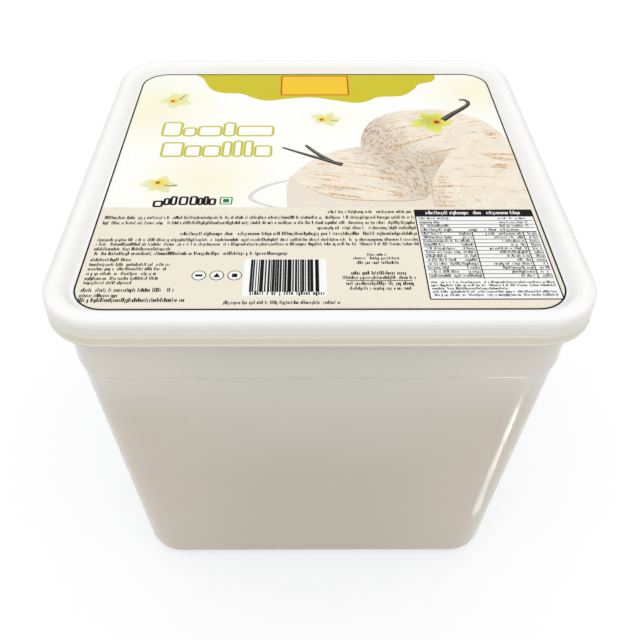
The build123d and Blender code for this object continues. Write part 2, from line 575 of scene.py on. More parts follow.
def soften(corners, steps=5, hold=0.25 * MM, longest=12 * MM):
    """A line through corners given as x, y and radius: each is rounded, and long runs get more points."""
    spots = [Vector(corner[:2]) for corner in corners]
    cuts = [0.0]
    for before, here, after, corner in zip(spots, spots[1:], spots[2:], corners[1:]):
        half_angle = (before - here).angle(after - here) / 2
        cuts.append(corner[2] / math.tan(half_angle) if half_angle < math.pi / 2 - 1e-4 else 0.0)
    cuts.append(0.0)
    free = [(b - a).length - cut - next_cut for a, b, cut, next_cut in zip(spots, spots[1:], cuts, cuts[1:])]
    points = [spots[0]]
    for index in range(1, len(spots) - 1):
        here = spots[index]
        cut = cuts[index]
        if cut <= 0:
            points.append(here)
            continue
        back = (spots[index - 1] - here).normalized()
        ahead = (spots[index + 1] - here).normalized()
        middle = here + (back + ahead).normalized() * math.hypot(cut, corners[index][2])
        start = here + back * cut - middle
        sweep = start.angle_signed(here + ahead * cut - middle)
        points.append(here + back * (cut + min(hold, free[index - 1] / 3)))
        for step in range(steps + 1):
            turn = -sweep * step / steps
            x = start.x * math.cos(turn) - start.y * math.sin(turn)
            y = start.x * math.sin(turn) + start.y * math.cos(turn)
            points.append(middle + Vector((x, y)))
        points.append(here + ahead * (cut + min(hold, free[index] / 3)))
    points.append(spots[-1])
    divided = [points[0]]
    for first, second in zip(points, points[1:]):
        parts = max(1, math.ceil((second - first).length / longest))
        divided += [first.lerp(second, part / parts) for part in range(1, parts + 1)]
    return divided


def smooth_line(points, steps=6):
    """A smooth curve through the points."""
    padded = [Vector(point) for point in (points[0], *points, points[-1])]
    curve = []
    for a, b, c, d in zip(padded, padded[1:], padded[2:], padded[3:]):
        square = 2 * a - 5 * b + 4 * c - d
        cube = 3 * b - a - 3 * c + d
        for step in range(steps):
            t = step / steps
            curve.append(0.5 * (2 * b + (c - a) * t + square * t * t + cube * t ** 3))
    return [*curve, padded[-1]]


def skin(loops):
    """Faces between loops of the same number of points, each one point further along than the last."""
    count = len(loops[0])
    vertices = [point for loop in loops for point in loop]
    faces = []
    for row in range(len(loops) - 1):
        for index in range(count):
            after = (index + 1) % count
            low = row * count
            faces.append((low + index, low + after, low + count + after, low + count + index))
    return vertices, faces


def new_piece(name, vertices, faces, material, edges=(), smooth=None):
    """A mesh object at the origin with one material; smooth is the angle past which an edge stays sharp."""
    mesh = bpy.data.meshes.new(name)
    mesh.from_pydata([tuple(v) for v in vertices], list(edges), faces)
    piece = bpy.data.objects.new(name, mesh)
    bpy.context.collection.objects.link(piece)
    mesh.materials.append(material)
    if smooth is not None:
        mesh.shade_smooth()
        mesh.set_sharp_from_angle(angle=smooth)
    return piece


def settle(piece, replaced=None):
    """Fixes a finished piece to the tub, and hides the part that it replaces."""
    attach(piece, BODY)
    if replaced:
        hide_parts(replaced)


def rectangle(left, bottom, right, top, radius=0.0):
    """The outline of an upright rectangle, with its corners rounded where asked."""
    if radius <= 0:
        return [Vector(p) for p in ((left, bottom), (right, bottom), (right, top), (left, top))]
    middle = Vector(((left + right) / 2, (bottom + top) / 2))
    return [middle + p for p in rounded_outline((right - left) / 2, (top - bottom) / 2, radius, 5)]


def disc(x, y, radius, points=24):
    """The outline of a disc."""
    turns = [2 * math.pi * step / points for step in range(points)]
    return [Vector((x + radius * math.cos(t), y + radius * math.sin(t))) for t in turns]


def stroke(points, width, closed=False):
    """A line of one width."""
    return points, [width] * len(points), closed


def sides(outline, width):
    """A stroke of its own along each side of an outline, so that the corners stay sharp."""
    return [stroke([first, second], width) for first, second in zip(outline, outline[1:] + outline[:1])]


def tapered(line, first, final):
    """A line whose width changes evenly from end to end."""
    last = len(line) - 1
    return line, [first + (final - first) * k / last for k in range(last + 1)], False


def swelling(line, thin, thick):
    """A line that swells from thin ends to a thicker middle."""
    last = len(line) - 1
    return line, [thin + thick * math.sin(math.pi * k / last) ** 0.5 for k in range(last + 1)], False


def ink_span(layer):
    """Heights of the bottom and the top of the ink of a printed layer, whose foot is set into the film."""
    sizes = bpy.context.scene.label_sizes
    return FILM_HIGH.z - sizes.sink, FILM_HIGH.z + sizes.layer * layer


def flat_plate(outline, bottom, top, start=0):
    """Points and faces of a closed plate over an outline in millimetres; its points count from start."""
    count = len(outline)
    points = [on_film(p[0], p[1], height) for height in (bottom, top) for p in outline]
    low = range(start, start + count)
    high = range(start + count, start + 2 * count)
    faces = [tuple(high), tuple(reversed(low))]
    for k in range(count):
        after = (k + 1) % count
        faces.append((low[k], low[after], high[after], high[k]))
    return points, faces


def piece_ink(name, ink):
    """The ink of a printed piece: a material as it is, or one made from a colour and its grain."""
    if isinstance(ink, bpy.types.Material):
        return ink
    return ink_material(socket_label(name) + " Ink", *ink)


def white_ink():
    """The white of the table and of the patches behind the bars and the marks."""
    return ink_material("White Ink", shade(251, 251, 249), 0.02)


def strong_ink():
    """The black of the strong print, the bars, the marks and the table."""
    return ink_material("Strong Print Ink", bpy.context.scene.pack_colours.black, 0.3)


def print_plates(name, outlines, layer, ink):
    """Flat closed plates of ink, one for each outline in millimetres."""
    vertices = []
    faces = []
    for outline in outlines:
        points, more = flat_plate(outline, *ink_span(layer), len(vertices))
        vertices += points
        faces += more
    settle(new_piece(name, vertices, faces, piece_ink(name, ink)))


# ---------------------------------------------------------------- geometry trees

DRAWN_SIZE = "drawn_size"


def grow(piece, tree, **values):
    """Runs a geometry tree on a piece with these values and keeps what it makes as the piece's plain mesh."""
    modifier = piece.modifiers.new(tree.name, "NODES")
    modifier.node_group = tree
    values["material"] = piece.data.materials[0]
    for key, value in values.items():
        modifier[tree.interface.items_tree[socket_label(key)].identifier] = value
    depsgraph = bpy.context.evaluated_depsgraph_get()
    made = bpy.data.meshes.new_from_object(piece.evaluated_get(depsgraph))
    piece.modifiers.clear()
    piece.data = made
    if not len(made.polygons):
        raise RuntimeError(f"the tree {tree.name} made nothing for {piece.name}")


def random_number(tree, low, high, seed):
    """A random number for each point."""
    return node(tree, "FunctionNodeRandomValue", {2: low, 3: high, "Seed": seed}, 1, data_type="FLOAT")


def drawn_size(tree):
    """The size that each point of a drawn line carries."""
    return node(tree, "GeometryNodeInputNamedAttribute", {"Name": DRAWN_SIZE}, data_type="FLOAT")


def moved(tree, geometry, offset):
    """Geometry whose points are moved by an offset."""
    return node(tree, "GeometryNodeSetPosition", {"Geometry": geometry, "Offset": offset})


def blocks_at(tree, points, wide, tall, thick):
    """A plain block of the given size at each point."""
    cube = node(tree, "GeometryNodeMeshCube", {"Size": (1.0, 1.0, 1.0)})
    inputs = {"Points": points, "Instance": cube, "Scale": joined(tree, wide, tall, thick)}
    return node(tree, "GeometryNodeInstanceOnPoints", inputs)


@geometry_group(
    "Lid Rim", width=FLOAT, depth=FLOAT, corner_radius=FLOAT, point_spacing=FLOAT, panel_top=FLOAT,
    panel_bottom=FLOAT,
)
def lid_rim(tree, given):
    """Carries the lid's section round a rounded rectangle and closes the panel inside it."""
    size = {"Width": given.width, "Height": given.depth}
    square = node(tree, "GeometryNodeCurvePrimitiveQuadrilateral", size)
    corners = {"Curve": square, "Count": 32, "Radius": given.corner_radius}
    rounded = node(tree, "GeometryNodeFilletCurve", corners, mode="POLY")
    even = {"Curve": rounded, "Length": given.point_spacing}
    path = node(tree, "GeometryNodeResampleCurve", even, mode="LENGTH")
    section = node(tree, "GeometryNodeMeshToCurve", {"Mesh": given.geometry})
    swept = node(tree, "GeometryNodeCurveToMesh", {"Curve": path, "Profile Curve": section})

    faces_beside = node(tree, "GeometryNodeInputMeshEdgeNeighbors", {})
    open_edge = node(tree, "FunctionNodeCompare", {2: faces_beside, 3: 1}, data_type="INT", operation="EQUAL")
    height = node(tree, "GeometryNodeInputPosition", {}).split()[2]
    halfway = (given.panel_top + given.panel_bottom) * 0.5
    upper = node(tree, "FunctionNodeCompare", {0: height, 1: halfway}, operation="GREATER_THAN")
    chosen = node(tree, "FunctionNodeBooleanMath", {0: open_edge, 1: upper}, operation="AND")
    brink = node(tree, "GeometryNodeMeshToCurve", {"Mesh": swept, "Selection": chosen})
    panel = node(tree, "GeometryNodeFillCurve", {"Curve": brink}, mode="NGONS")
    under = node(tree, "GeometryNodeFlipFaces", {"Mesh": panel})

    def lifted(mesh, height):
        """The panel's face, moved up to a height."""
        lift = {"Geometry": mesh, "Translation": joined(tree, z=height)}
        return node(tree, "GeometryNodeTransform", lift)

    whole = node(tree, "GeometryNodeJoinGeometry", {})
    for part in (lifted(under, given.panel_bottom), lifted(panel, given.panel_top), swept):
        part.to(whole.socket.node.inputs[0])
    return node(tree, "GeometryNodeMergeByDistance", {"Geometry": whole, "Distance": 0.01 * MM})


@geometry_group("Printed Strokes", bottom=FLOAT, top=FLOAT)
def printed_strokes(tree, given):
    """Turns drawn lines into flat closed strokes of ink, as wide as each point of the line says."""
    line = node(tree, "GeometryNodeMeshToCurve", {"Mesh": given.geometry})
    bar = node(tree, "GeometryNodeCurvePrimitiveQuadrilateral", {"Width": 1.0, "Height": 1.0})
    inputs = {"Curve": line, "Profile Curve": bar, "Scale": drawn_size(tree), "Fill Caps": True}
    swept = node(tree, "GeometryNodeCurveToMesh", inputs)
    x, y, z = node(tree, "GeometryNodeInputPosition", {}).split()
    above = z.math("GREATER_THAN", (given.top + given.bottom) * 0.5)
    flat = joined(tree, x, y, (given.top - given.bottom) * above + given.bottom)
    return node(tree, "GeometryNodeSetPosition", {"Geometry": swept, "Position": flat})


@geometry_group("Small Print", bottom=FLOAT, top=FLOAT, pitch=FLOAT, gaps=FLOAT, seed=INTEGER)
def small_print(tree, given):
    """Fills drawn rows with small upright blocks of uneven size and with gaps, as small print looks."""
    line = node(tree, "GeometryNodeMeshToCurve", {"Mesh": given.geometry})
    even = node(tree, "GeometryNodeResampleCurve", {"Curve": line, "Length": given.pitch}, mode="LENGTH")
    dots = node(tree, "GeometryNodeCurveToPoints", {"Curve": even}, mode="EVALUATED")
    chance = {"Probability": given.gaps, "Seed": given.seed}
    gaps = node(tree, "FunctionNodeRandomValue", chance, 3, data_type="BOOLEAN")
    kept = node(tree, "GeometryNodeDeleteGeometry", {"Geometry": dots, "Selection": gaps})
    kind = random_number(tree, 0.0, 1.0, given.seed + 1)
    # Some blocks stand up above the rest of their row, and a few hang below it
    rising = kind.math("GREATER_THAN", 0.7)
    hanging = kind.math("LESS_THAN", 0.12)
    tall = drawn_size(tree)
    share = rising * 0.34 + (hanging * 0.24 + 0.66)
    lift = rising * 0.17 + hanging * -0.12
    points = moved(tree, kept, joined(tree, y=tall * lift))
    wide = given.pitch * random_number(tree, 0.34, 0.86, given.seed + 2)
    return blocks_at(tree, points, wide, tall * share, given.top - given.bottom)


@geometry_group(
    "Bar Field", bottom=FLOAT, top=FLOAT, start=VECTOR, length=FLOAT, bar_height=FLOAT, count=INTEGER,
    seed=INTEGER,
)
def bar_field(tree, given):
    """A run of upright bars of random width between two ends."""
    pitch = given.length / given.count
    line = {"Count": given.count, "Start Location": given.start, "Offset": joined(tree, pitch)}
    even = node(tree, "GeometryNodeMeshLine", line)
    points = moved(tree, even, joined(tree, pitch * random_number(tree, -0.22, 0.22, 3)))
    wide = pitch * random_number(tree, 0.36, 1.1, given.seed)
    return blocks_at(tree, points, wide, given.bar_height, given.top - given.bottom)


@geometry_group("Blossom", centre=VECTOR, petals=INTEGER, lift=FLOAT, turn=FLOAT, seed=INTEGER)
def blossom_petals(tree, given):
    """Sets petals round the heart of a blossom, each a little different and a hair above the last."""
    line = {"Count": given.petals, "Start Location": given.centre, "Offset": (0.0, 0.0, 0.0)}
    number = node(tree, "GeometryNodeInputIndex", {})
    points = moved(tree, node(tree, "GeometryNodeMeshLine", line), joined(tree, z=number * given.lift))
    turn = number * (2 * math.pi) / given.petals + random_number(tree, -0.4, 0.4, given.seed) + given.turn
    grown = random_number(tree, 0.66, 1.16, given.seed)
    inputs = {
        "Points": points,
        "Instance": given.geometry,
        "Rotation": joined(tree, z=turn),
        "Scale": joined(tree, grown, grown, 1.0),
    }
    return node(tree, "GeometryNodeInstanceOnPoints", inputs)


def draw_lines(name, lines, layer, ink):
    """An object of lines in millimetres, halfway up a layer: points, a size for each, and closed or not."""
    height = sum(ink_span(layer)) / 2
    vertices = []
    edges = []
    numbers = []
    for points, values, closed in lines:
        start = len(vertices)
        vertices += [on_film(p[0], p[1], height) for p in points]
        numbers += [value * MM for value in values]
        edges += [(start + k, start + k + 1) for k in range(len(points) - 1)]
        if closed:
            edges.append((start + len(points) - 1, start))
    piece = new_piece(name, vertices, [], piece_ink(name, ink), edges)
    kept = piece.data.attributes.new(DRAWN_SIZE, "FLOAT", "POINT")
    kept.data.foreach_set("value", numbers)
    return piece


def print_strokes(name, lines, layer, ink):
    """Strokes of ink along drawn lines, in millimetres: points, widths and whether the line is closed."""
    piece = draw_lines(name, lines, layer, ink)
    bottom, top = ink_span(layer)
    grow(piece, printed_strokes(), bottom=bottom, top=top)
    settle(piece)


def print_rows(name, rows, layer, ink, pitch, gaps=0.16):
    """Rows of small print in millimetres: left end, right end, place up the label and height of the print."""
    lines = [stroke([(left, y), (right, y)], tall) for left, right, y, tall in rows]
    piece = draw_lines(name, lines, layer, ink)
    bottom, top = ink_span(layer)
    seed = bpy.context.scene.label_sizes.seed
    grow(piece, small_print(), bottom=bottom, top=top, pitch=pitch * MM, gaps=gaps, seed=seed)
    settle(piece)


# ---------------------------------------------------------------- tub and lid


def tub_section(sizes, lid):
    """The tub's outside in section, from its base up to the seat of the lid: inset, height and rounding."""
    collar_foot = LID_LOW.z - sizes.collar_height
    wall_top = collar_foot - sizes.step_height
    collar_foot_inset = sizes.collar_inset + sizes.collar_draft
    foot_inset = sizes.base_inset + sizes.base_edge_radius + sizes.foot_width
    flange_foot = TUB_HIGH.z - sizes.rim_depth
    seat = FILM_LOW.z - lid.wall
    small = sizes.small_radius
    return [
        (foot_inset + 4 * small, sizes.foot_height, 0),
        (foot_inset, sizes.foot_height, small),
        (foot_inset, 0, small),
        (sizes.base_inset, 0, sizes.base_edge_radius),
        (collar_foot_inset + sizes.step_inset, wall_top, sizes.step_radius),
        (collar_foot_inset, collar_foot, sizes.step_radius),
        (sizes.collar_inset, LID_LOW.z, 0),
        (sizes.collar_inset, flange_foot, small),
        (sizes.rim_inset, flange_foot, small),
        (sizes.rim_inset, TUB_HIGH.z, small),
        (sizes.mouth_inset, TUB_HIGH.z, small),
        (sizes.mouth_inset, seat, 0),
        (sizes.mouth_inset + 4 * small, seat, 0),
    ]


def tub_loops(sizes, lid):
    """Loops of points round the tub, from the foot of its base up to the seat of the lid."""
    wall_top = LID_LOW.z - sizes.collar_height - sizes.step_height
    wall_top_inset = sizes.collar_inset + sizes.collar_draft + sizes.step_inset
    wall_top_corner = lid.corner_radius - wall_top_inset
    stops = [0.008, *(step / 12 for step in range(1, 12)), 0.992]
    loops = []
    for inset, height in soften(tub_section(sizes, lid)):
        risen = min(height / wall_top, 1)
        wall_inset = sizes.base_inset + (wall_top_inset - sizes.base_inset) * risen
        wall_corner = sizes.base_corner_radius + (wall_top_corner - sizes.base_corner_radius) * risen
        radius = lid.corner_radius - inset if risen == 1 else wall_corner - (inset - wall_inset)
        half = HALF - inset
        bow = sizes.wall_bow * math.sin(math.pi * risen) ** 0.7 if 0 < risen < 1 else 0
        loop = []
        for point in rounded_outline(half, half, radius, corner_steps=14, side_stops=stops):
            major, minor = (0, 1) if abs(point.x) > abs(point.y) else (1, 0)
            straight = half - radius
            share = max(0.0, 1 - (abs(point[minor]) / straight) ** 2)
            point[major] -= math.copysign(bow * share, point[major])
            loop.append(Vector((point.x, point.y, height)))
        loops.append(loop)
    return loops


def gate_loops(sizes, first_loop):
    """Round loops for the moulding gate, with a point for each point of the loop that they join."""
    level = sizes.foot_height - sizes.gate_height
    # Shares of the gate's radius: its face, its edge, and the hollow of the foot round it
    rings = (
        (0.4, level),
        (0.9, level),
        (1.0, level + sizes.gate_height / 4),
        (1.0, sizes.foot_height - sizes.gate_height / 8),
        (1.06, sizes.foot_height),
        (2.2, sizes.foot_height),
        (5.5, sizes.foot_height),
    )
    loops = []
    for share, height in rings:
        radius = sizes.gate_radius * share
        loops.append([Vector((*(radius * p.xy.normalized()), height)) for p in first_loop])
    return loops


class TUB_OT_body(bpy.types.Operator):
    """Builds the tub: tapered walls, collar, flange under the lid, and a base with a foot and a gate"""

    bl_idname = "tub_maker.body"
    bl_label = "Tub Body"

    def execute(self, context):
        scene = context.scene
        sizes = scene.tub_sizes
        loops = tub_loops(sizes, scene.lid_sizes)
        loops = gate_loops(sizes, loops[0]) + loops
        count = len(loops[0])
        vertices, faces = skin(loops)
        faces.append(tuple(range(count - 1, -1, -1)))
        faces.append(tuple(range(len(vertices) - count, len(vertices))))
        material = tub_material(scene.pack_colours, LID_LOW.z - sizes.collar_height)
        body = new_piece("tub_body", vertices, faces, material, smooth=math.radians(32))
        settle(body, "tub")
        return {"FINISHED"}


def lid_section(sizes, skirt_face):
    """The lid's rim in section, from the panel out over the crown, down the skirt and back inside."""
    top = LID_HIGH.z
    edge = top - sizes.crown_rise
    band_top = LID_LOW.z + sizes.band_height
    shoulder = edge - sizes.shoulder_height
    panel = FILM_LOW.z
    seat = panel - sizes.wall
    ceiling = edge - sizes.wall
    end_inset = sizes.slope_foot_inset + 2 * sizes.slope_foot_radius
    run = sizes.slope_foot_inset - sizes.slope_top_inset
    slant = math.hypot(run, top - panel) / (top - panel)
    slope = run / (top - panel)
    under_seat = sizes.slope_top_inset + slope * (top - seat) - sizes.wall * slant
    under_ceiling = sizes.slope_top_inset + slope * (top - ceiling) - sizes.wall * slant
    across = sizes.crown_inset - sizes.shoulder_inset
    crown_run = (across ** 2 + sizes.crown_rise ** 2) / (2 * across)
    small = sizes.crease_radius
    return [
        (end_inset, panel, 0),
        (sizes.slope_foot_inset, panel, sizes.slope_foot_radius),
        (sizes.slope_top_inset, top, sizes.slope_top_radius),
        (sizes.crown_inset - crown_run, top, 4 * MM),
        (sizes.shoulder_inset, edge, sizes.crease_radius),
        (sizes.shoulder_inset * 0.42, edge - sizes.shoulder_height * 0.2, 1.5 * MM),
        (sizes.ledge - sizes.shoulder_bulge, edge - sizes.shoulder_height * 0.6, 3 * MM),
        (sizes.ledge, shoulder, 1 * MM),
        (sizes.ledge, band_top + 2 * sizes.ledge, small),
        (sizes.band_inset, band_top, small),
        (sizes.band_inset + 0.1 * MM, LID_LOW.z + sizes.lip_height, small / 2),
        (0, LID_LOW.z + sizes.lip_height * 0.75, small / 2),
        (0, LID_LOW.z, sizes.lip_radius),
        (skirt_face, LID_LOW.z, small),
        (skirt_face, ceiling, small),
        (under_ceiling, ceiling, small),
        (under_seat, seat, 0),
        (end_inset, seat, 0),
    ]


class TUB_OT_lid(bpy.types.Operator):
    """Builds the press-on lid: its rim carried round the corners, and the sunken panel inside it"""

    bl_idname = "tub_maker.lid"
    bl_label = "Lid"

    def execute(self, context):
        sizes = context.scene.lid_sizes
        material = lid_material(context.scene.pack_colours)
        section = soften(lid_section(sizes, sizes.ledge + sizes.wall), steps=4)
        vertices = [(-inset, -height, 0.0) for inset, height in section]
        edges = [(k, k + 1) for k in range(len(vertices) - 1)]
        lid = new_piece("press_on_lid", vertices, [], material, edges)
        grow(
            lid, lid_rim(), width=2 * HALF, depth=LID_HIGH.y - LID_LOW.y, corner_radius=sizes.corner_radius,
            point_spacing=sizes.point_spacing, panel_top=FILM_LOW.z, panel_bottom=FILM_LOW.z - sizes.wall,
        )
        lid.data.shade_smooth()
        lid.data.set_sharp_from_angle(angle=math.radians(40))
        settle(lid, "lid")
        return {"FINISHED"}


# ---------------------------------------------------------------- print


class TUB_OT_film(bpy.types.Operator):
    """Gives the label film its white and its pale clouds, and prints the fields and lines that frame it"""

    bl_idname = "tub_maker.film"
    bl_label = "Label Fields"

    def execute(self, context):
        sizes = context.scene.label_sizes
        colours = context.scene.pack_colours
        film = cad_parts["label"]
        film.data.materials.clear()
        film.data.materials.append(film_material(colours))

        width = sizes.line_width / MM
        radius = sizes.line_radius / MM
        shift = Vector((sizes.line_shift / MM, 0))
        half_y = FILM_HIGH.x / MM - sizes.line_inset / MM - width / 2
        half_x = half_y - shift.x
        line = [p + shift for p in rounded_outline(half_x, half_y, radius, 12)]
        print_strokes("keyline", [stroke(line, width, closed=True)], INK, (colours.keyline, 0.05))

        inner = half_y - width / 2
        band_top = sizes.band_top / MM - inner
        gap = width / 2 + 0.3
        field = [p + shift for p in rounded_outline(half_x - gap, half_y - gap, radius - gap, 12)]
        low = [p for p in field if p.y < band_top]
        ends = [Vector((shift.x + side * (half_x - gap), band_top)) for side in (-1, 1)]
        outline = [ends[0], *(p for p in low if p.x < 0), *(p for p in low if p.x >= 0), ends[1]]
        print_plates("lower_field", [outline], BAND, (colours.band, 0.03))

        wave = [
            (-57, inner + 0.2), (-53, 77), (-48.5, 67), (-43, 63), (-34, 62), (-28, 58), (-21.5, 55.5),
            (-12, 57.3), (-2, 58.5), (8, 56), (18, 53.3), (24, 55), (29, 58.6), (40, 60), (46, 66), (49, 71),
            (55, 73.6), (57.3, 77), (57.3, inner + 0.2),
        ]
        print_plates("banner", [smooth_line(wave)], FIELD, (colours.banner, 0.03))
        badge = rectangle(-15.5, 60.8, 15.5, 79.2)
        print_plates("blank_badge", [badge], PICTURE, (colours.badge, 0.03))
        print_strokes("badge_edge", sides(badge, 0.6), FRONT_PICTURE, (colours.badge_edge, 0.05))
        return {"FINISHED"}


class TUB_OT_scoops(bpy.types.Operator):
    """Prints the three scoops of ice cream and the rim of the dish beside them"""

    bl_idname = "tub_maker.scoops"
    bl_label = "Printed Scoops"

    def execute(self, context):
        edge = FILM_HIGH.x / MM - 0.7
        back = [
            (22, 6), (18.8, 16.5), (20.4, 29), (26, 39), (36, 45.3), (48.5, 47.1), (59.8, 45.9), (71, 39),
            (77.3, 30.3), (edge, 19), (edge, -5), (60, -26), (40, -27), (34, -10),
        ]
        left = [
            (-11, -28), (-11.8, -18), (-11.2, -9), (-5.3, 1.5), (3.5, 10.3), (14.8, 15.3), (26, 15.3),
            (36, 10.3), (41.5, 1), (44.2, -9), (44, -20), (43.5, -28),
        ]
        right = [
            (44.6, -28), (44.4, -18), (45.2, -9), (48.5, -1), (52.3, 6.5), (57.3, 14), (66, 18.5), (74, 20.5),
            (edge, 21), (edge, -28),
        ]
        hollow = {"hollow": on_film(45, 3), "hollow_radius": 16 * MM}
        plans = (
            ("scoop_back", back, PICTURE, (50, 14), 33.0, 1.0, (156, 0.55, -22), hollow),
            ("scoop_left", left, FRONT_PICTURE, (16, -18), 33.0, 5.0, (-28, 0.8, 16), {}),
            ("scoop_right", right, FRONT_PICTURE, (77, -18), 35.0, 9.0, (150, 1.1, 12), {}),
        )
        for name, points, layer, centre, radius, seed, (shade_turn, shade_reach, streak_turn), more in plans:
            turns = {"shade_turn": math.radians(shade_turn), "streak_turn": math.radians(streak_turn), **more}
            material = scoop_material(name.title(), centre, radius, seed, shade_reach=shade_reach, **turns)
            print_plates(name, [smooth_line(points, 5)], layer, material)

        lip = [(-10.6, -5), (-5, -12), (3.6, -18.4), (13, -21.4), (28, -22.2), (39, -21.4), (43.4, -17)]
        lip = smooth_line(lip, 4)
        foot = [*lip, Vector((44, -28)), Vector((-11, -28)), Vector((-11.7, -18))]
        print_plates("scoop_foot", [foot], FOOT, (shade(238, 227, 212), 0.1))
        print_strokes("scoop_foot_edge", [swelling(lip[5:], 0.05, 0.7)], BAND, (shade(214, 196, 174), 0.5))
        rim = [(-10.5, -8.2), (-17, -10.8), (-22.8, -14.8), (-25.5, -20), (-21, -24), (-13, -27)]
        rim = smooth_line(rim, 5)
        print_strokes("dish_rim", [swelling(rim, 0.3, 1.0)], PICTURE, (shade(205, 206, 205), 0.2))
        print_strokes("dish_shine", [swelling(rim, 0.12, 0.4)], FRONT_PICTURE, (shade(248, 248, 244), 0.05))
        return {"FINISHED"}


class TUB_OT_blossoms(bpy.types.Operator):
    """Prints the pale blossoms and the dark pods"""

    bl_idname = "tub_maker.blossoms"
    bl_label = "Blossoms and Pods"

    def execute(self, context):
        bottom, top = ink_span(BAND)
        petal = smooth_line([
            (0.02, -0.1), (0.28, -0.29), (0.56, -0.36), (0.82, -0.2), (1.0, 0.03), (0.84, 0.2), (0.56, 0.31),
            (0.26, 0.24), (0.02, 0.1),
        ], 3)
        pale = (shade(236, 222, 120), shade(232, 238, 186))
        vivid = (shade(190, 194, 48), shade(230, 232, 98))
        plans = (
            ("blossom_left", (-63, 56), 7.0, 0.5, 3, pale),
            ("blossom_middle", (5, 39), 6.4, 1.1, 5, pale),
            ("blossom_front", (-60.6, -10.8), 7.0, 0.2, 8, pale),
            ("blossom_scoop", (50, 37), 9.0, 0.8, 11, vivid),
        )
        for name, centre, reach, turn, seed, (inner, outer) in plans:
            vertices, faces = flat_plate([p * reach for p in petal], bottom - top, 0.0)
            material = petal_material(name.title(), centre, reach, inner, outer)
            blossom = new_piece(name, vertices, faces, material)
            heart = on_film(*centre, top)
            grow(blossom, blossom_petals(), centre=heart, petals=5, lift=0.004 * MM, turn=turn, seed=seed)
            settle(blossom)

        spots = ((-64.2, 55), (3, 38.4), (-61.6, -9.8))
        throats = [disc(x, y, 2.0, 16) for x, y in spots]
        hearts = [disc(x - 0.3, y - 0.2, 0.95, 12) for x, y in spots]
        strands = [
            stroke([(-61.6, 56), (-60.6, 58.2), (-59.2, 60.4)], 0.6),
            stroke([(6.6, 37.4), (9.8, 36.9)], 0.5),
            stroke([(-59.4, -11.6), (-57, -12.2), (-54.2, -11.6)], 0.6),
        ]
        print_plates("blossom_throats", throats, PANEL, (shade(246, 216, 92), 0.3))
        print_plates("blossom_hearts", hearts, INK, (shade(178, 118, 34), 0.5))
        print_strokes("blossom_strands", strands, PANEL, (shade(150, 138, 84), 0.5))
        print_plates("scoop_blossom_throat", [disc(52.4, 36.2, 2.4, 16)], PANEL, (shade(238, 184, 66), 0.3))
        print_plates("scoop_blossom_heart", [disc(52.7, 36, 1.3, 14)], INK, (shade(176, 72, 24), 0.5))

        hook = [(55.6, 37.6), (60, 42.5), (65, 47.3), (68.6, 51.3), (69, 54.4), (67.4, 56), (65.6, 55.6)]
        pods = (
            ([(-13.8, 15.5), (-5, 10.6), (3, 6.3), (10.4, 2.5)], 0.9, 2.3),
            ([(-4.2, 17.2), (-1, 12.6), (2.4, 8.6), (6, 5)], 1.3, 2.1),
            (hook, 2.9, 1.0),
        )
        lines = [smooth_line(points, 4) for points, _, _ in pods]
        dark = [tapered(line, first, final) for line, (_, first, final) in zip(lines, pods)]
        print_strokes("pods", dark, PANEL, (shade(62, 58, 54), 0.5))
        shine = [tapered([p + Vector((-0.2, 0.3)) for p in line], 0.3, 0.35) for line in lines]
        print_strokes("pod_shine", shine, INK, (shade(158, 152, 142), 0.3))
        return {"FINISHED"}


class TUB_OT_blocks(bpy.types.Operator):
    """Prints the plain blocks that stand where a title and a volume would be"""

    bl_idname = "tub_maker.blocks"
    bl_label = "Title Blocks"

    def execute(self, context):
        colours = context.scene.pack_colours
        upper = (
            (-65.4, -57.5, 11), (-56.3, -51.2, 6.4), (-50, -40.4, 7.6), (-39.2, -34.6, 10.6),
            (-33.4, -18.2, 7.8),
        )
        lower = (
            (-63.6, -55.2, 10.4), (-54, -47.7, 7.8), (-46.5, -39.7, 7.8), (-38.5, -35.2, 11),
            (-34, -30.8, 11.6), (-29.6, -26.4, 11.6), (-25.2, -18.6, 7.8),
        )
        volume = (
            (-61.4, -58.4, -25.4, -22.2), (-57.6, -55.9, -24.2, -20.6), (-55.1, -53.3, -24.2, -19.4),
            (-51.8, -49.2, -24.2, -19.6), (-47.8, -45.6, -24.2, -19.4), (-44.8, -43.4, -24.2, -20.4),
            (-42.6, -41.4, -24.2, -19.4), (-40.6, -38.6, -24.2, -20.8),
        )
        title = []
        for foot, rounding, row in ((25, 1.6, upper), (9, 1.3, lower)):
            title += [rectangle(left, foot, right, foot + tall, rounding) for left, right, tall in row]
        volume = [rectangle(left, low, right, high, 0.5) for left, right, low, high in volume]
        fill = ink_material("Block Fill Ink", shade(255, 255, 252), 0.01)
        plans = (("title", title, 1.0, (colours.title, 0.08)), ("volume", volume, 0.95, (colours.black, 0.2)))
        for name, blocks, width, edge in plans:
            print_plates(name + "_blocks", blocks, FIELD, fill)
            outlines = [stroke(block, width, closed=True) for block in blocks]
            print_strokes(name + "_outlines", outlines, PICTURE, edge)

        green = ink_material("Square Ink", colours.green, 0.1)
        print_plates("small_square", [rectangle(-35.6, -23, -33.3, -20.7)], FIELD, green)
        print_strokes("small_square_edge", sides(rectangle(-36.6, -24, -32.3, -19.7), 0.5), FIELD, green)
        return {"FINISHED"}


